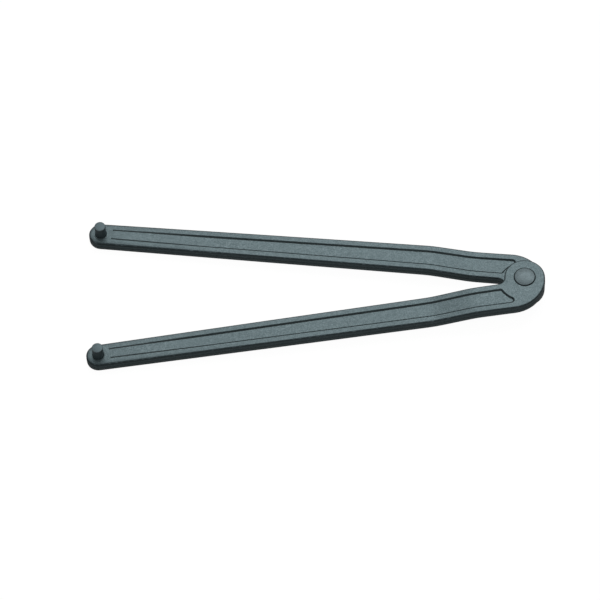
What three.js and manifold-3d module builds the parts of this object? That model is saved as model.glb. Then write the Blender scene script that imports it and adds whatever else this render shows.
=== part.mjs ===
// Adjustable two-pin face spanner: two drop-forged steel arms on one rivet, a hardened pin at each tip.
// Millimetres. Z runs up along the rivet. The origin is on the rivet's axis, at the underside of the
// hubs. The arms reach out along -X, one to each side of the XZ plane. Both arms are one forging:
// the bottom arm is the same piece turned over.
import * as THREE from 'three';
import { mergeVertices } from 'three/addons/utils/BufferGeometryUtils.js';
import Module from 'manifold-3d';

const wasm = await Module();
wasm.setup();

// Driving dimensions.
const REACH = 116.5; // rivet axis to pin axis
const OPENING = THREE.MathUtils.degToRad(19.2); // angle between the arms as set
const THICKNESS = 3.1; // of each arm, hub included
const HUB_GAP = 0.2; // between the two hubs
const TIP_RADIUS = 3.3;
const HUB_RADIUS = 5.5;
const PIN_RADIUS = 1.5;
const PIN_HEIGHT = 3.6; // above the arm's face
const RIVET_RADIUS = 2.0; // shank
const CLEARANCE = 0.05; // radial, around the rivet and the pins

// The step that brings both arms into one plane, measured along the arm from the rivet.
const STEP_HEIGHT = (THICKNESS + HUB_GAP) / 2;
const STEP_INNER = 15;
const STEP_OUTER = 26;
const MIDDLE = STEP_HEIGHT + THICKNESS / 2; // height of the arms' middle plane

// The hub's shoulder is one wide curve from the round of the hub to the outer edge.
const SHOULDER_RADIUS = 9.5;
const SHOULDER_TURN = THREE.MathUtils.degToRad(-7); // direction of the curve's centre from the rivet
const NECK_FILLET = 2.0;
const INNER_START = new THREE.Vector2(8, 0.65); // the inner edge starts here, just clear of the hub
const EDGE_ROUND = 0.35;

// The sunk panel in both faces of the arm.
const RAIL = 1.6; // width of the raised rail round the panel
const PANEL_DEPTH = 0.35;
const PANEL_CORNER = 0.8;
const BOSS_OUTER = 7.15; // the outer face's panel stops on this circle about the rivet
const BOSS_INNER = 6.6; // and the inner face's on this one
const PANEL_HUB = 4.1;
const PANEL_TIP = REACH - 3.4;

// The rivet: a domed head in a shallow seat, and a conical tail.
const HEAD_RADIUS = 2.8;
const HEAD_RIM = 0.4; // straight side under the dome
const HEAD_DOME = 0.3;
const HEAD_GAP = 0.1; // under the head
const SEAT_DEPTH = 0.3;
const SEAT_GAP = 0.25; // round the head
const TAIL_RADIUS = 2.8;
const TAIL_DEPTH = 0.8;
const PIN_CHAMFER = 0.15;

const ARC_STEPS = 16; // segments on each arc of an outline
const CORNER_STEPS = 4; // segments on each corner of a panel
const EDGE_STEPS = 2; // segments across a rounded edge
const ROUND_STEPS = 48; // segments round pins, rivet and holes
const DOME_STEPS = 6;
const WELD = 1e-5; // points closer than this are one
const LONG = 400; // longer than the whole part, for cutting blocks

// ---- solids ------------------------------------------------------------------------------------

function solid(geometry) {
  const bare = geometry.index ? geometry.toNonIndexed() : geometry.clone();
  bare.deleteAttribute('normal');
  bare.deleteAttribute('uv');
  const merged = mergeVertices(bare, WELD);
  return new wasm.Manifold(new wasm.Mesh({
    numProp: 3,
    vertProperties: new Float32Array(merged.attributes.position.array),
    triVerts: new Uint32Array(merged.index.array),
  }));
}

function geometryOf(manifold) {
  const mesh = manifold.getMesh();
  const geometry = new THREE.BufferGeometry();
  geometry.setAttribute('position', new THREE.BufferAttribute(mesh.vertProperties, 3));
  geometry.setIndex(new THREE.BufferAttribute(mesh.triVerts, 1));
  geometry.computeVertexNormals();
  return geometry;
}

// A round bar along Z; it becomes a cone when the two radii differ.
function bar(x, radiusTop, radiusBottom, bottom, top) {
  const geometry = new THREE.CylinderGeometry(radiusTop, radiusBottom, top - bottom, ROUND_STEPS);
  geometry.rotateX(Math.PI / 2);
  geometry.translate(x, 0, (top + bottom) / 2);
  return geometry;
}

// Everything between two stations along the arm.
function slab(from, to) {
  const geometry = new THREE.BoxGeometry(to - from, LONG, LONG);
  geometry.translate((from + to) / 2, 0, 0);
  return solid(geometry);
}

// ---- outline of the arm ------------------------------------------------------------------------
// In the arm's own frame X runs from the rivet to the pin and +Y is the outer side.

// Direction, as an angle, of the normal at which a straight line touches both circles.
function tangentAngle(from, fromRadius, to, toRadius, side) {
  const gap = to.clone().sub(from);
  return gap.angle() + side * Math.acos((fromRadius - toRadius) / gap.length());
}

function onCircle(centre, radius, angle) {
  return new THREE.Vector2(Math.cos(angle), Math.sin(angle)).multiplyScalar(radius).add(centre);
}

const angleTo = (from, to) => to.clone().sub(from).angle();

const RIVET = new THREE.Vector2(0, 0);
const TIP = new THREE.Vector2(REACH, 0);
const SHOULDER = onCircle(RIVET, SHOULDER_RADIUS - HUB_RADIUS, SHOULDER_TURN);

// The two straight edges, each touching the round of the tip. The inner edge runs to INNER_START;
// the outer edge touches the shoulder.
const outerNormal = tangentAngle(SHOULDER, SHOULDER_RADIUS, TIP, TIP_RADIUS, 1);
const innerNormal = tangentAngle(INNER_START, 0, TIP, TIP_RADIUS, -1);

// A point on either edge at a distance x along the arm, moved inwards by inset.
function edgePoint(x, normalAngle, through, inset) {
  const normal = onCircle(RIVET, 1, normalAngle);
  const level = normal.dot(through) - inset;
  return new THREE.Vector2(x, (level - normal.x * x) / normal.y);
}
const outerThrough = onCircle(TIP, TIP_RADIUS, outerNormal);
const outerEdge = (x, inset = 0) => edgePoint(x, outerNormal, outerThrough, inset);
const innerEdge = (x, inset = 0) => edgePoint(x, innerNormal, INNER_START, inset);

function armOutline() {
  // The neck fillet touches the round of the hub and the inner edge: slide its centre along a line
  // one fillet radius outside the edge until it is at the right distance from the rivet.
  const near = innerEdge(0, -NECK_FILLET);
  const along = onCircle(RIVET, 1, innerNormal + Math.PI / 2);
  const middle = -near.dot(along);
  const off = near.clone().addScaledVector(along, middle).length();
  const neck = near.addScaledVector(along, middle + Math.sqrt((HUB_RADIUS + NECK_FILLET) ** 2 - off ** 2));

  const shape = new THREE.Shape();
  const arc = (centre, radius, from, to, clockwise = false) => {
    shape.absarc(centre.x, centre.y, radius, from, to, clockwise);
  };
  arc(TIP, TIP_RADIUS, innerNormal, outerNormal);
  arc(SHOULDER, SHOULDER_RADIUS, outerNormal, angleTo(SHOULDER, RIVET));
  arc(RIVET, HUB_RADIUS, angleTo(SHOULDER, RIVET), angleTo(RIVET, neck));
  arc(neck, NECK_FILLET, angleTo(neck, RIVET), innerNormal + Math.PI, true);
  return shape;
}

// A four-cornered outline with every corner rounded.
function roundedOutline(corners, radius) {
  const shape = new THREE.Shape();
  const shift = (from, to) => from.clone().addScaledVector(to.clone().sub(from).normalize(), radius);
  corners.forEach((corner, i) => {
    const before = corners[(i + corners.length - 1) % corners.length];
    const after = corners[(i + 1) % corners.length];
    const entry = shift(corner, before);
    const exit = shift(corner, after);
    if (i === 0) shape.moveTo(entry.x, entry.y);
    else shape.lineTo(entry.x, entry.y);
    shape.quadraticCurveTo(corner.x, corner.y, exit.x, exit.y);
  });
  shape.closePath();
  return shape;
}

// ---- the forging -------------------------------------------------------------------------------
// Its frame has Z = 0 in the middle plane of the straight part; the hub is stepped up from it.

// The whole arm as if it were flat, with the panels sunk in both faces.
function flatArm() {
  const blank = new THREE.ExtrudeGeometry(armOutline(), {
    depth: THICKNESS - 2 * EDGE_ROUND,
    curveSegments: ARC_STEPS,
    bevelThickness: EDGE_ROUND,
    bevelSize: EDGE_ROUND,
    bevelOffset: -EDGE_ROUND,
    bevelSegments: EDGE_STEPS,
  });
  blank.translate(0, 0, EDGE_ROUND - THICKNESS / 2);

  const corners = [
    innerEdge(PANEL_HUB, RAIL),
    innerEdge(PANEL_TIP, RAIL),
    outerEdge(PANEL_TIP, RAIL),
    outerEdge(PANEL_HUB, RAIL),
  ];
  const panel = solid(new THREE.ExtrudeGeometry(roundedOutline(corners, PANEL_CORNER), {
    depth: THICKNESS,
    curveSegments: CORNER_STEPS,
    bevelEnabled: false,
  }));
  const boss = (radius) => solid(bar(0, radius, radius, -THICKNESS, 2 * THICKNESS));
  const floor = THICKNESS / 2 - PANEL_DEPTH;
  return solid(blank)
    .subtract(panel.subtract(boss(BOSS_OUTER)).translate(0, 0, floor))
    .subtract(panel.subtract(boss(BOSS_INNER)).translate(0, 0, -floor - THICKNESS));
}

// Three lengths of the flat arm put end to end: level, sloping and level again at the hub.
function forging() {
  const flat = flatArm();
  const slope = STEP_HEIGHT / (STEP_OUTER - STEP_INNER);
  const shear = new THREE.Matrix4().makeShear(0, -slope, 0, 0, 0, 0).setPosition(0, 0, slope * STEP_OUTER);
  const sloping = solid(geometryOf(flat).applyMatrix4(shear));
  const raised = flat.translate(0, 0, STEP_HEIGHT);
  const hole = (x, radius) => solid(bar(x, radius, radius, -LONG, LONG));
  return flat.intersect(slab(STEP_OUTER, LONG))
    .add(sloping.intersect(slab(STEP_INNER, STEP_OUTER)))
    .add(raised.intersect(slab(-LONG, STEP_INNER)))
    .subtract(hole(REACH, PIN_RADIUS + CLEARANCE))
    .subtract(hole(0, RIVET_RADIUS + CLEARANCE));
}

const HUB_FACE = STEP_HEIGHT + THICKNESS / 2; // the hub's outer face, in the forging's frame

// The top arm has a shallow seat for the rivet's head, the bottom arm a countersink for its tail.
function topArm() {
  const radius = HEAD_RADIUS + SEAT_GAP;
  const seat = bar(0, radius, radius, HUB_FACE - SEAT_DEPTH, HUB_FACE + SEAT_DEPTH);
  return geometryOf(forging().subtract(solid(seat)));
}

// The cone carries on past the face to twice its depth, so that it cuts the rim cleanly.
function bottomArm() {
  const narrow = RIVET_RADIUS + CLEARANCE;
  const wide = narrow + 2 * (TAIL_RADIUS - RIVET_RADIUS);
  const cone = bar(0, wide, narrow, HUB_FACE - TAIL_DEPTH, HUB_FACE + TAIL_DEPTH);
  return geometryOf(forging().subtract(solid(cone)));
}

// ---- rivet and pins ----------------------------------------------------------------------------

function turned(profile) {
  const geometry = new THREE.LatheGeometry(profile, ROUND_STEPS);
  geometry.rotateX(Math.PI / 2);
  return geometry;
}

// Flush conical tail, straight shank through both hubs, and a low domed head in its seat.
function rivet() {
  const seat = MIDDLE + HUB_FACE - SEAT_DEPTH + HEAD_GAP;
  const rim = seat + HEAD_RIM;
  const domeRadius = (HEAD_RADIUS ** 2 + HEAD_DOME ** 2) / (2 * HEAD_DOME);
  const sweep = Math.asin(HEAD_RADIUS / domeRadius);
  const profile = [
    new THREE.Vector2(0, 0),
    new THREE.Vector2(TAIL_RADIUS, 0),
    new THREE.Vector2(RIVET_RADIUS, TAIL_DEPTH),
    new THREE.Vector2(RIVET_RADIUS, seat),
    new THREE.Vector2(HEAD_RADIUS, seat),
  ];
  for (let i = 0; i <= DOME_STEPS; i += 1) {
    const angle = sweep * (1 - i / DOME_STEPS);
    const height = rim + HEAD_DOME - domeRadius * (1 - Math.cos(angle));
    profile.push(new THREE.Vector2(i < DOME_STEPS ? domeRadius * Math.sin(angle) : 0, height));
  }
  return turned(profile);
}

// A plain pin from the arm's underside to its working end, with both ends chamfered.
function pin() {
  const length = THICKNESS + PIN_HEIGHT;
  return turned([
    new THREE.Vector2(0, 0),
    new THREE.Vector2(PIN_RADIUS - PIN_CHAMFER, 0),
    new THREE.Vector2(PIN_RADIUS, PIN_CHAMFER),
    new THREE.Vector2(PIN_RADIUS, length - PIN_CHAMFER),
    new THREE.Vector2(PIN_RADIUS - PIN_CHAMFER, length),
    new THREE.Vector2(0, length),
  ]);
}

// ---- assembly ----------------------------------------------------------------------------------

const forgedSteel = new THREE.MeshStandardMaterial({ color: 0x6c7a7c, roughness: 0.62, metalness: 0.55 });
const rivetSteel = new THREE.MeshStandardMaterial({ color: 0x727e80, roughness: 0.5, metalness: 0.6 });
const pinSteel = new THREE.MeshStandardMaterial({ color: 0x5d686b, roughness: 0.45, metalness: 0.7 });

function named(name, geometry, material) {
  const mesh = new THREE.Mesh(geometry, material);
  mesh.name = name;
  return mesh;
}

// One arm with its pin, in a group turned about the rivet to the arm's direction. The pin always
// points up, so it keeps its attitude when the forging is turned over.
function side(armName, geometry, turnedOver, direction) {
  const group = new THREE.Group();
  const arm = named(armName, geometry, forgedSteel);
  arm.rotation.x = turnedOver ? Math.PI : 0;
  arm.position.z = MIDDLE;
  const armPin = named(`${armName}_pin`, pin(), pinSteel);
  armPin.position.set(REACH, 0, MIDDLE - THICKNESS / 2);
  group.add(arm, armPin);
  group.rotation.z = direction;
  return group;
}

const spanner = new THREE.Group();
spanner.add(
  side('top_arm', topArm(), false, Math.PI + OPENING / 2),
  side('bottom_arm', bottomArm(), true, Math.PI - OPENING / 2),
  named('pivot_rivet', rivet(), rivetSteel),
);

export default spanner;
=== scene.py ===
import math

import bmesh
import bpy
import numpy as np
from mathutils import Matrix, Vector


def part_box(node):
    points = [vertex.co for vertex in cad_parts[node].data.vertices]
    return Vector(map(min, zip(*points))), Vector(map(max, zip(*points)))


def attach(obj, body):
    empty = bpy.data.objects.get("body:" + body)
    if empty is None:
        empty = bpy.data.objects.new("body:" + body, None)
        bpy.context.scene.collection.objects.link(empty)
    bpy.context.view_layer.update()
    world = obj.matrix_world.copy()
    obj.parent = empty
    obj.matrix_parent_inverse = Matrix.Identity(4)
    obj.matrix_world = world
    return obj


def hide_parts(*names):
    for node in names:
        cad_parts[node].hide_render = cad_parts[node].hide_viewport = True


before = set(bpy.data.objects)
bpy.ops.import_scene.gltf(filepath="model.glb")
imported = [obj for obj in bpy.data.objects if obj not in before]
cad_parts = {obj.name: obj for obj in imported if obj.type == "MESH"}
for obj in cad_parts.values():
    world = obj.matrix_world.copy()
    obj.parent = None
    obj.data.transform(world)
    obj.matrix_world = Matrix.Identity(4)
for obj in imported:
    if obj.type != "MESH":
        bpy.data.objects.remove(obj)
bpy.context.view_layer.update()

# ---- The two arms ------------------------------------------------------------------------------
# Each arm is one drop forging in carbon steel, trimmed round its edge and phosphated a matt grey.
# Both come from one die: the bottom arm is the same piece turned over. The hub is stepped out of
# the plane of the shaft by just over half the arm's thickness, so the hubs stack on level shafts.

MM = 0.001  # every size below is in millimetres until a mesh is placed
FULL_TURN = 2 * math.pi

pin_boxes = [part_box("top_arm_pin"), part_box("bottom_arm_pin")]
pin_centres = [complex(low.x + high.x, low.y + high.y) / 2 / MM for low, high in pin_boxes]
reach = abs(pin_centres[0])  # rivet axis to pin axis
half_opening = math.atan2(pin_centres[1].imag, -pin_centres[1].real)
arm_low, arm_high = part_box("top_arm")
hub_top = arm_high.z / MM
shaft_bottom = arm_low.z / MM

HALF_THICK = 1.55  # half the arm's thickness
MIDDLE = shaft_bottom + HALF_THICK  # height of the plane in which the shafts lie
STEP_HIGH = hub_top - 2 * HALF_THICK - shaft_bottom
STEP_FROM, STEP_TO = 15.0, 26.0  # where the step ends and begins, from the rivet
STEP_EASE = 1.3  # how softly the step starts and stops

TIP = complex(reach, 0)
TIP_RADIUS = 3.3
HUB_RADIUS = 5.5
SHOULDER_RADIUS = 9.5  # one wide curve from the round of the hub to the outer edge
SHOULDER_TURN = math.radians(-7)
SHOULDER = (SHOULDER_RADIUS - HUB_RADIUS) * np.exp(1j * SHOULDER_TURN)
NECK_RADIUS = 2.0
INNER_START = 8.0 + 0.65j  # the inner edge runs from here, just clear of the hub

SPACING = 0.35  # between points along an outline
FEWEST = 6  # points on an arc
WELD = 4  # decimals of a millimetre at which points are one
HOLD = 0.1  # a flat row next to each rounding, which keeps the flat faces flat


def tangent_angle(start, start_radius, end, end_radius, side):
    """Angle of the normal of a straight line that touches two circles: the angle from one centre
    to the other, plus or minus the arc cosine of the radii's difference over their distance."""
    gap = end - start
    return np.angle(gap) + side * math.acos((start_radius - end_radius) / abs(gap))


def arc(centre, radius, start, stop, grow=0.0):
    """Points on a circle from one angle to another, the last left out: centre plus radius times
    exp(i angle). Points are complex numbers x + iy. Grow moves them out but keeps their number."""
    count = max(FEWEST, math.ceil(abs(stop - start) * radius / SPACING))
    return centre + (radius + grow) * np.exp(1j * np.linspace(start, stop, count, endpoint=False))


def line(start, stop, count=None):
    """Evenly spaced points from start to stop, the last left out."""
    return np.linspace(start, stop, count or round(abs(stop - start) / SPACING), endpoint=False)


outer_angle = tangent_angle(SHOULDER, SHOULDER_RADIUS, TIP, TIP_RADIUS, 1)
inner_angle = tangent_angle(INNER_START, 0, TIP, TIP_RADIUS, -1)
outer_normal = np.exp(1j * outer_angle)
inner_normal = np.exp(1j * inner_angle)
outer_level = (np.conj(outer_normal) * TIP).real + TIP_RADIUS
inner_level = (np.conj(inner_normal) * TIP).real + TIP_RADIUS


def touching(normal, level, turn, distance):
    """The centre of a rounding: on the line at that level, and at that distance from the rivet."""
    return normal * complex(level, turn * math.sqrt(distance**2 - level**2))


def outline(inset):
    """The arm's edge seen from above, moved inwards by inset. It goes round the tip, along the outer
    edge, over the shoulder and the hub, through the neck fillet and back along the inner edge. Each
    length touches the next, so only the radii change with the inset."""
    neck = touching(inner_normal, inner_level + NECK_RADIUS, 1, HUB_RADIUS + NECK_RADIUS)
    hub_start = np.angle(-SHOULDER)
    hub_end = np.angle(neck) + FULL_TURN
    tip_side = TIP_RADIUS - inset
    shoulder_side = SHOULDER_RADIUS - inset
    return np.concatenate([
        arc(TIP, TIP_RADIUS, inner_angle, outer_angle, -inset),
        line(TIP + tip_side * outer_normal, SHOULDER + shoulder_side * outer_normal),
        arc(SHOULDER, SHOULDER_RADIUS, outer_angle, hub_start, -inset),
        arc(0, HUB_RADIUS, hub_start, hub_end, -inset),
        arc(neck, NECK_RADIUS, np.angle(-neck), inner_angle + math.pi, inset),
        line(neck - (NECK_RADIUS + inset) * inner_normal, TIP + tip_side * inner_normal),
    ])


# The sunk panel, the same on both faces except where it stops at the hub.
RAIL = 1.6  # width of the raised rail round the panel
PANEL_DEEP = 0.35
BOSS_OUTER, BOSS_INNER = 7.15, 6.6  # each face's panel stops on its circle about the rivet
PANEL_TIP = reach - 2.7
RUN_OUT = 30.0  # the panel's floor rises to the face over this length, up to its tip end
INNER_CORNER, OUTER_CORNER, TIP_CORNER = 0.8, 1.0, 0.4
OUTER_POINTS, INNER_POINTS, END_POINTS = 310, 308, 8  # along the panel's straight sides


def from_tip(x, length):
    """0 at the panel's tip end, 1 beyond that length from it, eased at both ends as 3 s2 - 2 s3."""
    share = np.clip((PANEL_TIP - x) / length, 0, 1)
    return share * share * (3 - 2 * share)


def panel_edge(boss, sunk):
    """The edge of the sunk panel, moved into the panel by sunk. It goes round the two tip corners,
    along the outer rail, round the outer hub corner, along an arc of radius boss about the rivet,
    round the inner hub corner and back along the inner rail."""
    outer = outer_level - RAIL
    inner = inner_level - RAIL
    tip_x = PANEL_TIP - TIP_CORNER

    def tip_corner(normal, level):
        return complex(tip_x, (level - TIP_CORNER - normal.real * tip_x) / normal.imag)

    tip_outer = tip_corner(outer_normal, outer)
    tip_inner = tip_corner(inner_normal, inner)
    hub_outer = touching(outer_normal, outer - OUTER_CORNER, -1, boss + OUTER_CORNER)
    hub_inner = touching(inner_normal, inner - INNER_CORNER, 1, boss + INNER_CORNER)
    outer_turn = np.angle(-hub_outer) % FULL_TURN
    inner_turn = np.angle(-hub_inner) % FULL_TURN
    at_tip = TIP_CORNER - sunk
    at_outer = OUTER_CORNER - sunk
    at_inner = INNER_CORNER - sunk
    return np.concatenate([
        arc(tip_inner, TIP_CORNER, inner_angle, 0, -sunk),
        line(tip_inner + at_tip, tip_outer + at_tip, END_POINTS),
        arc(tip_outer, TIP_CORNER, 0, outer_angle, -sunk),
        line(tip_outer + at_tip * outer_normal, hub_outer + at_outer * outer_normal, OUTER_POINTS),
        arc(hub_outer, OUTER_CORNER, outer_angle, outer_turn, -sunk),
        arc(0, boss, np.angle(hub_outer), np.angle(hub_inner), sunk),
        arc(hub_inner, INNER_CORNER, inner_turn, inner_angle + FULL_TURN, -sunk),
        line(hub_inner + at_inner * inner_normal, tip_inner + at_tip * inner_normal, INNER_POINTS),
    ])


def strip(rows, heights, edge=0.0, painted_hollow_shade=0.0):
    """A profile carried round a closed path: row k is the path at height k, and each row is joined
    to the next by four-sided faces. The edge values and the last argument are what the finish reads:
    painted shade with wear on rounded edges, and painted shade in hollows. Each of the three is one
    value for all, one a row or one a point."""
    rows = np.array(rows)
    levels, around = rows.shape
    columns = [
        np.broadcast_to(np.reshape(v, (-1, 1)) if np.ndim(v) < 2 else v, rows.shape)
        for v in (heights, edge, painted_hollow_shade)]
    points = np.stack([rows.real, rows.imag, *columns], axis=-1).reshape(-1, 5)
    k, i = np.meshgrid(np.arange(levels - 1), np.arange(around), indexing="ij")
    j = (i + 1) % around
    corners = (k * around + i, k * around + j, (k + 1) * around + j, (k + 1) * around + i)
    return points, np.stack(corners, axis=-1).reshape(-1, 4)


def flat_fill(loops, height):
    """Triangles over the area inside the first loop and outside the others. Height is one value or
    one for each point."""
    points = np.concatenate(loops)
    ends = np.cumsum([len(loop) for loop in loops])
    after = np.arange(1, len(points) + 1)
    after[ends - 1] = np.concatenate([[0], ends[:-1]])
    flat = np.stack([points.real, points.imag, 0 * points.real], axis=-1)
    mesh = bpy.data.meshes.new("fill")
    mesh.from_pydata(flat, np.stack([np.arange(len(points)), after], -1), [])
    work = bmesh.new()
    work.from_mesh(mesh)
    bmesh.ops.triangle_fill(work, use_beauty=True, use_dissolve=False, edges=work.edges[:])
    work.to_mesh(mesh)
    work.free()
    corners = np.zeros(len(mesh.loops), int)
    mesh.loops.foreach_get("vertex_index", corners)
    bpy.data.meshes.remove(mesh)
    level = np.broadcast_to(height, len(points))
    extra = np.stack([level, 0 * level, 0 * level], axis=-1)
    return np.concatenate([flat[:, :2], extra], axis=1), corners.reshape(-1, 3)


def join(patches):
    """Puts patches end to end and makes points that meet into one."""
    starts = np.cumsum([0] + [len(points) for points, _ in patches])
    every = np.concatenate([points for points, _ in patches])
    _, first, same = np.unique(
        np.round(every[:, :3], WELD), axis=0, return_index=True, return_inverse=True)
    same = same.ravel()
    faces = [face for start, (_, f) in zip(starts, patches) for face in same[f + start].tolist()]
    return every[first], faces


def piece(name, points, faces, place):
    """A mesh object at the origin: place turns points in millimetres into complex x + iy and height
    in the object's frame. The extra columns become attributes that the finish reads."""
    plan, height = place(points[:, 0] + 1j * points[:, 1], points[:, 2])
    mesh = bpy.data.meshes.new(name)
    mesh.from_pydata(np.stack([plan.real, plan.imag, height], axis=-1) * MM, [], faces)
    # Edge carries painted shade on the arms' roundings and wear on the pins' chamfers; hollow carries
    # painted shade in the gutters.
    for column, label in ((3, "edge"), (4, "painted_hollow_shade")):
        values = points[:, column]
        mesh.attributes.new(label, "FLOAT", "POINT").data.foreach_set("value", values)
    work = bmesh.new()
    work.from_mesh(mesh)
    bmesh.ops.recalc_face_normals(work, faces=work.faces[:])
    work.to_mesh(mesh)
    work.free()
    mesh.shade_smooth()
    made = bpy.data.objects.new(name, mesh)
    bpy.context.scene.collection.objects.link(made)
    return made


RING_POINTS = 96


def ring(centre, radius):
    """A closed circle of points."""
    return centre + radius * np.exp(1j * FULL_TURN * np.arange(RING_POINTS) / RING_POINTS)


def rounding(radius, steps, turn=math.pi / 2):
    """A quarter round, or the part of one up to turn, as (across, down) from its level end."""
    angle = np.linspace(0, turn, steps)
    return radius * np.sin(angle), radius * (1 - np.cos(angle))


# The trimmed edge: rounded where it meets the faces, and widest at the band that the trimming die
# leaves half way down. Towards the tip the rails slump outwards.
# The finish paints shade on each rounding and, more faintly, along the middle of the band.
EDGE_ROUND = 0.34
EDGE_STEPS, RAIL_STEPS = 8, 6
DRAFT = 0.03  # inset of the side at the end of the rounding
WAIST = 0.064  # inset of the side next to the band
BAND_HALF, BAND_PROUD, BAND_BLEND = 0.3, 0.04, 0.18
# painted shade along the middle of the band
BAND_SHADE = 0.35
SHADE_START = 0.4  # radians of a half sine at which the painted shade on the rounding starts
SOFT_WIDE, SOFT_DEEP, SOFT_LONG = 1.3, 0.14, 45.0


def side_profile():
    """Insets, heights and painted shade from the rail over the rounding and down to the middle of the
    band, then the same mirrored for the other face."""
    across, down = rounding(EDGE_ROUND, EDGE_STEPS)
    rail = np.linspace(SOFT_WIDE, EDGE_ROUND + DRAFT + HOLD, RAIL_STEPS)
    inset = np.concatenate([rail, EDGE_ROUND + DRAFT - across, [WAIST, BAND_PROUD, 0.0]])
    band = [BAND_HALF + BAND_BLEND, BAND_HALF + BAND_BLEND / 4, BAND_HALF]
    height = np.concatenate([np.full(RAIL_STEPS, HALF_THICK), HALF_THICK - down, band])
    rounded = np.sin(np.linspace(SHADE_START, math.pi, EDGE_STEPS))
    edge = np.concatenate([np.zeros(RAIL_STEPS), rounded, [0, 0, BAND_SHADE]])
    return [np.concatenate([v, sign * v[::-1]]) for v, sign in ((inset, 1), (height, -1), (edge, 1))]


def slump(rows, inset, height):
    """How far the rails lie below the face: a square rise over SOFT_WIDE to the arm's edge, times
    the share of SOFT_LONG that is left to the tip. It fades out down the side, above the band."""
    across = np.clip(1 - inset / SOFT_WIDE, 0, 1) ** 2
    above = np.clip(abs(height) - 2 * BAND_HALF, 0, EDGE_ROUND) / EDGE_ROUND
    return SOFT_DEEP * (across * above)[:, None] * np.clip(1 - (reach - rows.real) / SOFT_LONG, 0, 1)


# The panel's wall, and the fine gutter that the die leaves round the floor at the wall's foot.
WALL_ROUND, FLOOR_ROUND, WALL_SLOPE = 0.1, 0.08, math.radians(76)
WALL_STEPS, GUTTER_STEPS = 6, 6
GUTTER_DEEP = 0.14
GUTTER_WIDE = 0.26
GUTTER_FADE = 0.5  # the gutter dies out over this length at the panel's tip end
GUTTER_SHADE = 0.6  # power of its depth that sets the painted shade in the gutter, so that its sides are dark too


def wall_profile():
    """The panel's wall as (sunk, fall, gutter): a small round at the rail, a steep straight wall at
    the die's draft, and a fillet into the floor. Gutter is the extra depth at the foot of the wall,
    one hump of a sine."""
    across, down = rounding(WALL_ROUND, WALL_STEPS, WALL_SLOPE)
    across2, down2 = rounding(FLOOR_ROUND, WALL_STEPS, WALL_SLOPE)
    straight = (PANEL_DEEP - down[-1] - down2[-1]) / math.tan(WALL_SLOPE)
    width = across[-1] + straight + across2[-1]
    foot = width + np.linspace(0, GUTTER_WIDE, GUTTER_STEPS + 1)[1:]
    floor_row = [width + GUTTER_WIDE + HOLD]
    sunk = np.concatenate([[-HOLD], across, width - across2[::-1], foot, floor_row])
    deepest = np.full(GUTTER_STEPS + 1, PANEL_DEEP)
    fall = np.concatenate([[0], down, PANEL_DEEP - down2[::-1], deepest])
    start = width - across2[-1]
    share = np.clip((sunk - start) / (width + GUTTER_WIDE - start), 0, 1)
    return sunk, fall, GUTTER_DEEP * np.sin(math.pi * share)


def step(x):
    """Height added to the arm's flat shape at x from the rivet: a ramp between the step's two ends,
    with each corner of the ramp eased as the mean of a and the root of a squared plus ease squared."""
    def eased(a):
        return (a + np.sqrt(a**2 + STEP_EASE**2)) / 2
    return STEP_HIGH * (eased(STEP_TO - x) - eased(STEP_FROM - x)) / (STEP_TO - STEP_FROM)


SEAT_RADIUS = 2.88  # of the shallow seat for the rivet's head
SEAT_DEEP = 0.3
HOLE_RADIUS = 2.05
COUNTERSINK_RADIUS = 2.85
COUNTERSINK_DEEP = 0.8
PIN_HOLE = 1.52
LIP = 0.1  # small chamfer round each hole


def plain_rim(radius):
    """The mouth of a plain hole, as (radius, depth) from the face inwards: a small chamfer."""
    return [(radius + LIP + HOLD, 0), (radius + LIP, 0), (radius, LIP)]


def hole_strip(centre, upper, lower):
    """The wall of a hole from the upper face's rim to the lower face's: each end is a list of
    (radius, depth below its face)."""
    levels = [(r, HALF_THICK - d) for r, d in upper] + [(r, d - HALF_THICK) for r, d in lower[::-1]]
    return strip([ring(centre, r) for r, _ in levels], [z for _, z in levels])


def arm_shape(hub_mouth):
    """One arm, flat and then stepped. Hub_mouth is how the rivet's hole opens in the outer face."""
    inset, height, edge = side_profile()
    sunk, fall, gutter = wall_profile()
    hub_rim, pin_rim = plain_rim(HOLE_RADIUS), plain_rim(PIN_HOLE)
    rows = np.array([outline(a) for a in inset])
    lowered = slump(rows, inset, height)
    # Painted shade: the roundings' and band's shade from side_profile, plus more on the rails where
    # they slump.
    shade = edge[:, None] + lowered / SOFT_DEEP * (1 - edge[:, None]) / 2
    patches = [
        strip(rows, height[:, None] - np.sign(height)[:, None] * lowered, shade),
        hole_strip(0, hub_mouth, hub_rim),
        hole_strip(TIP, pin_rim, pin_rim),
    ]
    for face, mouth, boss in ((1, hub_mouth, BOSS_OUTER), (-1, hub_rim, BOSS_INNER)):
        walls = np.array([panel_edge(boss, a) for a in sunk])
        rise = from_tip(walls.real, RUN_OUT)
        cut = gutter[:, None] * from_tip(walls[0].real, GUTTER_FADE)
        level = face * (HALF_THICK - fall[:, None] * rise - cut)
        around = [rows[0], walls[0], ring(0, mouth[0][0]), ring(TIP, pin_rim[0][0])]
        # The gutter's depth also sets the painted shade in it, darkest where the gutter is deepest.
        patches += [
            strip(walls, level, 0, (cut / GUTTER_DEEP) ** GUTTER_SHADE),
            flat_fill(around, face * HALF_THICK),
            flat_fill([walls[-1]], face * (HALF_THICK - PANEL_DEEP * rise[-1])),
        ]
    points, faces = join(patches)
    points[:, 2] += step(points[:, 0])
    return points, faces


def place_top(plan, height):
    """Turns the arm about the rivet to its direction, on the near side."""
    return plan * -np.exp(1j * half_opening), height + MIDDLE


def place_bottom(plan, height):
    """Turns the arm over about its own length, then about the rivet to its direction."""
    return np.conj(plan) * -np.exp(-1j * half_opening), MIDDLE - height


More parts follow.
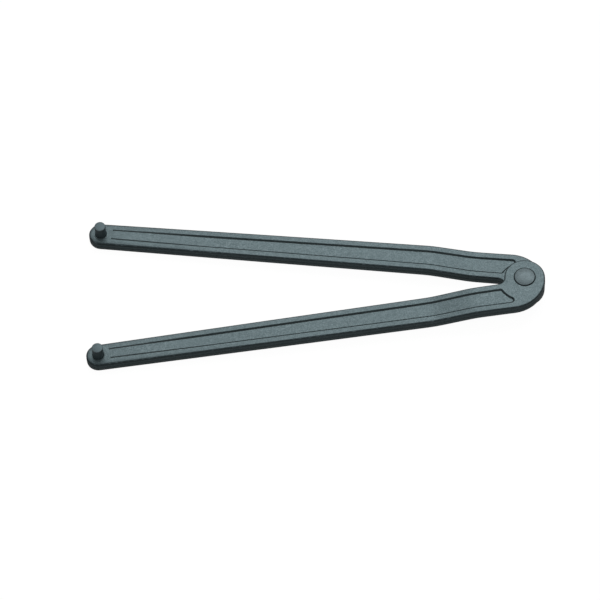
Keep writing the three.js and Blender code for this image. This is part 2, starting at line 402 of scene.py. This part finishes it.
head_seat = [
    (SEAT_RADIUS + LIP + HOLD, 0), (SEAT_RADIUS + LIP, 0), (SEAT_RADIUS + LIP / 3, LIP / 3),
    (SEAT_RADIUS, LIP), (SEAT_RADIUS, SEAT_DEEP), (HOLE_RADIUS, SEAT_DEEP)]
tail_seat = [
    (COUNTERSINK_RADIUS + HOLD, 0), (COUNTERSINK_RADIUS, 0), (HOLE_RADIUS, COUNTERSINK_DEEP)]
top_arm = piece("forged_top_arm", *arm_shape(head_seat), place_top)
bottom_arm = piece("forged_bottom_arm", *arm_shape(tail_seat), place_bottom)


def linear(colour):
    """An sRGB hex colour as the linear values that the shader takes."""
    parts = [int(colour[i:i + 2], 16) / 255 for i in (1, 3, 5)]
    return [c / 12.92 if c <= 0.04045 else ((c + 0.055) / 1.055) ** 2.4 for c in parts] + [1.0]


def node(tree, kind, inputs=(), **settings):
    """Adds a node with its settings. Inputs gives, by name or number, a value or an output to link."""
    made = tree.nodes.new(kind)
    for name, value in settings.items():
        setattr(made, name, value)
    for name, value in dict(inputs).items():
        if isinstance(value, bpy.types.NodeSocket):
            tree.links.new(value, made.inputs[name])
        else:
            made.inputs[name].default_value = value
    return made


def bare_material(name):
    """A material with no nodes in it yet, and its node tree."""
    material = bpy.data.materials.new(name)
    material.use_nodes = True
    material.node_tree.nodes.clear()
    return material, material.node_tree


COATED_METAL = 0.7  # a phosphate or oxide coat is thin enough for much of the metal's gloss
BLAST_GRAIN = 0.28  # dents of the shot, drawn a little coarser than real so that they show
COAT_CLUMP = 0.9  # patches of crystals in the phosphate coat
COAT_CLOUD = 9.0  # slow drift of its shade along the arm


def phosphated_forging():
    """Drop-forged carbon steel, shot-blasted and zinc-phosphated: a matt blue-grey crystal coat.
    Blasting leaves a fine even grain, the coat clouds a little from place to place, and the finish
    paints shade in the panel's gutters and round the trimmed edge, where handling rubs some spots
    bright again."""
    material, tree = bare_material("phosphated_drop_forged_steel")
    where = node(tree, "ShaderNodeTexCoord").outputs["Object"]
    fine, clump, cloud = (
        node(tree, "ShaderNodeTexNoise", {
            "Vector": where, "Scale": 1 / (size * MM), "Detail": 3.0}).outputs["Fac"]
        for size in (BLAST_GRAIN, COAT_CLUMP, COAT_CLOUD))
    edge = node(tree, "ShaderNodeAttribute", attribute_name="edge").outputs["Fac"]
    painted_hollow_shade = node(tree, "ShaderNodeAttribute", attribute_name="painted_hollow_shade").outputs["Fac"]
    worn = node(tree, "ShaderNodeMath", {0: edge, 1: clump}, operation="MULTIPLY").outputs[0]
    coat = linear("#3a484b")
    # Mixed in turn: blast grain, cloud, painted shade in the gutters, painted shade on the roundings
    # and band, and spots on the roundings rubbed bright.
    for share, low, high, most, colour in (
            (fine, 0.38, 0.62, 1.0, "#535f62"), (cloud, 0.35, 0.65, 0.3, "#404d50"),
            (painted_hollow_shade, 0.2, 1.0, 0.85, "#0d1315"), (edge, 0.0, 0.7, 0.85, "#142023"),
            (worn, 0.5, 0.7, 0.6, "#66757a")):
        amount = node(tree, "ShaderNodeMapRange", {
            "Value": share, "From Min": low, "From Max": high, "To Max": most}).outputs["Result"]
        coat = node(tree, "ShaderNodeMix", {
            0: amount, 6: coat, 7: linear(colour)}, data_type="RGBA").outputs[2]
    rough = node(tree, "ShaderNodeMapRange", {
        "Value": clump, "From Min": 0.3, "From Max": 0.7,
        "To Min": 0.4, "To Max": 0.5}).outputs["Result"]
    dents = node(tree, "ShaderNodeBump", {
        "Height": fine, "Distance": 0.02 * MM, "Strength": 0.7}).outputs["Normal"]
    relief = node(tree, "ShaderNodeBump", {
        "Height": clump, "Distance": 0.04 * MM, "Strength": 0.5, "Normal": dents}).outputs["Normal"]
    shader = node(tree, "ShaderNodeBsdfPrincipled", {
        "Base Color": coat, "Roughness": rough, "Normal": relief, "Metallic": COATED_METAL})
    node(tree, "ShaderNodeOutputMaterial", {"Surface": shader.outputs["BSDF"]})
    return material


forging_finish = phosphated_forging()
for arm, side in ((top_arm, "top"), (bottom_arm, "bottom")):
    arm.data.materials.append(forging_finish)
    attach(arm, f"{side}_half")
    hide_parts(f"{side}_arm")

# ---- The rivet ---------------------------------------------------------------------------------
# A steel rivet, cold-headed to a low dome that sits in the top hub's seat. Its plain shank runs
# through both hubs, and its tail is peened into the bottom hub's countersink and left flush.

rivet_low, rivet_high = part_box("pivot_rivet")
rivet_top = rivet_high.z / MM
SHANK_RADIUS = 2.0
HEAD_RADIUS = 2.72
HEAD_UNDER = hub_top - SEAT_DEEP + 0.1  # height of the head's underside, just clear of the seat
HEAD_BEVEL = 0.1  # at the corner of the underside
HEAD_STEPS, DOME_STEPS = 6, 22
DOME_HIGH = 0.3
HEAD_ROUND, HEAD_ROUND_WIDE = 0.12, 0.096  # height and width of the round at the head's rim
TAIL_RADIUS = COUNTERSINK_RADIUS - 0.12
TAIL_BEVEL, TAIL_BEVEL_HIGH = 0.13, 0.06
CAP = 0.06  # radius of the small flat that closes each end on the axis


def rivet_profile():
    """Radii and heights from the flush tail, up the shank and over the domed head. The dome is part
    of a sphere of radius (r squared + h squared) / 2h. The round at its rim goes inwards as the
    square of s, and up to the dome as (1 - s) to the power 1.6, for s from 0 to 1."""
    sphere = (HEAD_RADIUS**2 + DOME_HIGH**2) / (2 * DOME_HIGH)
    across = (HEAD_RADIUS - HEAD_ROUND_WIDE) * np.linspace(1, 0, DOME_STEPS)
    across[-1] = CAP
    dome = rivet_top - sphere + np.sqrt(sphere**2 - across**2)
    s = np.linspace(0, 1, HEAD_STEPS)
    rim_radius = HEAD_RADIUS - HEAD_ROUND_WIDE * s**2
    rim_height = dome[0] - HEAD_ROUND * (1 - s) ** 1.6
    tail = [CAP, TAIL_RADIUS - TAIL_BEVEL, TAIL_RADIUS, SHANK_RADIUS, SHANK_RADIUS]
    tail_height = [0.0, 0.0, TAIL_BEVEL_HIGH, COUNTERSINK_DEEP, HEAD_UNDER]
    under = [HEAD_RADIUS - HEAD_BEVEL, HEAD_RADIUS]
    under_height = [HEAD_UNDER, HEAD_UNDER + HEAD_BEVEL]
    radii = np.concatenate([tail, under, rim_radius, across[1:]])
    return radii, np.concatenate([tail_height, under_height, rim_height, dome[1:]])


def turned_piece(name, centre, radii, heights, edge=0.0):
    """A profile turned about a vertical axis, with both ends closed on the axis by a small flat."""
    points, faces = strip([ring(centre, r) for r in radii], heights, edge)
    first, last = range(RING_POINTS), range(len(points) - RING_POINTS, len(points))
    caps = [list(first)[::-1], list(last)]
    return piece(name, points, faces.tolist() + caps, lambda plan, height: (plan, height))


rivet = turned_piece("domed_rivet", 0, *rivet_profile())

COAT_FINE = 0.3  # grain of the coat on the smoother skin of the head
HEADING_MARK = 1.6  # width of the marks that the heading tool leaves


def phosphated_rivet():
    """Cold-headed steel with the same phosphate coat over a smoother skin: a low satin gloss with
    shallow marks from the heading tool."""
    material, tree = bare_material("phosphated_cold_headed_steel")
    where = node(tree, "ShaderNodeTexCoord").outputs["Object"]
    fine, marks = (
        node(tree, "ShaderNodeTexNoise", {
            "Vector": where, "Scale": 1 / (size * MM)}).outputs["Fac"]
        for size in (COAT_FINE, HEADING_MARK))
    amount, rough = (
        node(tree, "ShaderNodeMapRange", {
            "Value": value, "From Min": 0.3, "From Max": 0.7,
            "To Min": low, "To Max": high}).outputs["Result"]
        for value, low, high in ((fine, 0.0, 1.0), (marks, 0.38, 0.48)))
    coat = node(tree, "ShaderNodeMix", {
        0: amount, 6: linear("#454f52"), 7: linear("#4e5a5d")}, data_type="RGBA").outputs[2]
    grain = node(tree, "ShaderNodeBump", {
        "Height": fine, "Distance": 0.012 * MM, "Strength": 0.6}).outputs["Normal"]
    dents = node(tree, "ShaderNodeBump", {
        "Height": marks, "Distance": 0.12 * MM, "Strength": 0.5, "Normal": grain}).outputs["Normal"]
    shader = node(tree, "ShaderNodeBsdfPrincipled", {
        "Base Color": coat, "Roughness": rough, "Normal": dents, "Metallic": COATED_METAL})
    node(tree, "ShaderNodeOutputMaterial", {"Surface": shader.outputs["BSDF"]})
    return material


rivet.data.materials.append(phosphated_rivet())
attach(rivet, "top_half")
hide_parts("pivot_rivet")

# ---- The two pins ------------------------------------------------------------------------------
# Plain round pins in hardened tool steel, ground, chamfered at both ends and pressed into the arms'
# tips. They are blackened, and the chamfers are worn a little lighter.

PIN_RADIUS = 1.5
PIN_CHAMFER = 0.12
PIN_EASE = 0.02  # how far the chamfer's corners are eased
PIN_END_FLAT = 0.1  # from the chamfer to the last row of the flat end
PIN_SIDE_EASE = 0.06  # from the chamfer to the first row of the straight side
pin_low, pin_high = pin_boxes[0]
pin_bottom, pin_top = pin_low.z / MM, pin_high.z / MM


def pin_profile():
    """Radii and heights from end to end: flat end, chamfer with eased corners, straight side."""
    chamfer = PIN_RADIUS - PIN_CHAMFER
    end_r = [CAP, chamfer - PIN_END_FLAT, chamfer, PIN_RADIUS - PIN_EASE, PIN_RADIUS]
    end_z = [0, 0, PIN_EASE, PIN_CHAMFER - PIN_EASE, PIN_CHAMFER + PIN_SIDE_EASE]
    edge = [0, 0, 1, 1, 0]
    lower = [pin_bottom + z for z in end_z]
    upper = [pin_top - z for z in end_z[::-1]]
    return end_r + end_r[::-1], lower + upper, edge + edge[::-1]


GRINDING_LINE = 0.17  # spacing of the rings left by grinding, drawn coarse enough to show
BLACKING_SPOT = 0.22  # uneven spots in the blacking


def ground_pin():
    """Ground tool steel, chemically blackened: a satin gloss like the coated forging's but a more
    even shade, with fine lines round the pin from grinding and a little wear on the chamfers."""
    material, tree = bare_material("blackened_ground_tool_steel")
    where = node(tree, "ShaderNodeTexCoord").outputs["Object"]
    rings = node(tree, "ShaderNodeMapping", {
        "Vector": where, "Scale": (0.1, 0.1, 1.0)}).outputs["Vector"]
    spots, lines = (
        node(tree, "ShaderNodeTexNoise", {
            "Vector": vector, "Scale": 1 / (size * MM)}).outputs["Fac"]
        for vector, size in ((where, BLACKING_SPOT), (rings, GRINDING_LINE)))
    edge = node(tree, "ShaderNodeAttribute", attribute_name="edge").outputs["Fac"]
    black = linear("#3a4649")
    for share, low, high, most, colour in (
            (spots, 0.3, 0.7, 1.0, "#465357"), (edge, 0.0, 1.0, 0.25, "#6f797c")):
        amount = node(tree, "ShaderNodeMapRange", {
            "Value": share, "From Min": low, "From Max": high, "To Max": most}).outputs["Result"]
        black = node(tree, "ShaderNodeMix", {
            0: amount, 6: black, 7: linear(colour)}, data_type="RGBA").outputs[2]
    rough = node(tree, "ShaderNodeMapRange", {
        "Value": spots, "From Min": 0.3, "From Max": 0.7,
        "To Min": 0.4, "To Max": 0.5}).outputs["Result"]
    rings_cut = node(tree, "ShaderNodeBump", {
        "Height": lines, "Distance": 0.01 * MM, "Strength": 0.5}).outputs["Normal"]
    shader = node(tree, "ShaderNodeBsdfPrincipled", {
        "Base Color": black, "Roughness": rough, "Normal": rings_cut, "Metallic": COATED_METAL})
    node(tree, "ShaderNodeOutputMaterial", {"Surface": shader.outputs["BSDF"]})
    return material


pin_finish = ground_pin()
for side, centre in zip(("top", "bottom"), pin_centres):
    pin = turned_piece(f"{side}_arm_ground_pin", centre, *pin_profile())
    pin.data.materials.append(pin_finish)
    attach(pin, f"{side}_half")
    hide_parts(f"{side}_arm_pin")

# ---- The floor ---------------------------------------------------------------------------------
# A plain pale sheet of milk acrylic on a light table, which keeps shadows faint. The tool rests on
# the bottom arm's step and on both tips, so the sheet lies along the line between them.

FLOOR_HALF = 1500.0
FLOOR_CLEAR = 0.05  # keeps the sheet off the tool's lowest points
GLOW = 0.96  # strength of the light that comes through the sheet

along = np.linspace(0, STEP_TO, 100)
slope = max(step(along) / (reach - along)) / math.cos(half_opening)
tips_x = -reach * math.cos(half_opening)
floor_grid = np.array([(-1, -1), (1, -1), (1, 1), (-1, 1)]) * FLOOR_HALF
floor_height = shaft_bottom - FLOOR_CLEAR - (floor_grid[:, 0] - tips_x) * slope
floor_mesh = bpy.data.meshes.new("floor")
floor_mesh.from_pydata(np.column_stack([floor_grid, floor_height]) * MM, [], [(0, 1, 2, 3)])
floor = bpy.data.objects.new("floor", floor_mesh)
bpy.context.scene.collection.objects.link(floor)
acrylic, acrylic_tree = bare_material("milk_acrylic")
sheet = node(acrylic_tree, "ShaderNodeBsdfPrincipled", {
    "Base Color": linear("#404040"), "Roughness": 0.9, "Specular IOR Level": 0.0,
    "Emission Color": (1, 1, 1, 1), "Emission Strength": GLOW})
node(acrylic_tree, "ShaderNodeOutputMaterial", {"Surface": sheet.outputs["BSDF"]})
floor_mesh.materials.append(acrylic)
floor.visible_diffuse = False  # it throws no light back up at the tool
floor.visible_glossy = False

# ---- The light ---------------------------------------------------------------------------------
# A large soft box above and behind the tool, and a white room that is darker below the table.

SKY, GROUND = 0.8, 0.22  # strength of the light from above the horizon and from below it
DUSK, DAWN = -0.1, 0.3  # heights on the unit sphere between which one turns into the other

world = bpy.data.worlds.new("studio")
world.use_nodes = True
around = node(world.node_tree, "ShaderNodeTexCoord").outputs["Generated"]
rise = node(world.node_tree, "ShaderNodeSeparateXYZ", {"Vector": around}).outputs["Z"]
strength = node(world.node_tree, "ShaderNodeMapRange", {
    "Value": rise, "From Min": DUSK, "From Max": DAWN,
    "To Min": GROUND, "To Max": SKY}).outputs["Result"]
backdrop = world.node_tree.nodes["Background"]
backdrop.inputs["Color"].default_value = (1, 1, 1, 1)
world.node_tree.links.new(strength, backdrop.inputs["Strength"])
bpy.context.scene.world = world

BOX_PLACE = Vector((0.09, 0.52, 0.8))  # in metres, as are the next two lines
BOX_AIM = Vector((-0.04, 0.0, 0.0))
BOX_WIDTH, BOX_HEIGHT = 0.8, 0.5
BOX_WATTS = 4.75

box_light = bpy.data.lights.new("overhead", "AREA")
box_light.shape = "RECTANGLE"
box_light.size, box_light.size_y = BOX_WIDTH, BOX_HEIGHT
box_light.energy = BOX_WATTS
soft_box = bpy.data.objects.new("overhead", box_light)
soft_box.location = BOX_PLACE
soft_box.rotation_mode = "QUATERNION"
soft_box.rotation_quaternion = (BOX_AIM - BOX_PLACE).to_track_quat("-Z", "Y")
bpy.context.scene.collection.objects.link(soft_box)

# ---- The camera --------------------------------------------------------------------------------
# A long lens looking down at the shafts from the near side, turned a little about its own axis.

AIM = Vector((-60.66, -4.09, 4.75)) * MM
AZIMUTH, ELEVATION, ROLL = (math.radians(a) for a in (-2.782, 57.51, -4.133))
DISTANCE = 943.4 * MM
LENS, SENSOR = 210.06, 36.0
NEAR, FAR = 0.05, 20.0  # metres

ahead = Vector((math.sin(AZIMUTH), math.cos(AZIMUTH), 0))
forward = ahead * math.cos(ELEVATION) - Vector((0, 0, math.sin(ELEVATION)))
level = Vector((math.cos(AZIMUTH), -math.sin(AZIMUTH), 0))
upward = level.cross(forward)
right = level * math.cos(ROLL) + upward * math.sin(ROLL)
top = upward * math.cos(ROLL) - level * math.sin(ROLL)
camera_data = bpy.data.cameras.new("camera")
camera_data.lens = LENS
camera_data.sensor_width = SENSOR
camera_data.clip_start, camera_data.clip_end = NEAR, FAR
camera = bpy.data.objects.new("camera", camera_data)
axes = Matrix((right, top, -forward)).transposed()
camera.matrix_world = Matrix.Translation(AIM - forward * DISTANCE) @ axes.to_4x4()
bpy.context.scene.collection.objects.link(camera)
bpy.context.scene.camera = camera
bpy.context.scene.view_settings.view_transform = "Standard"
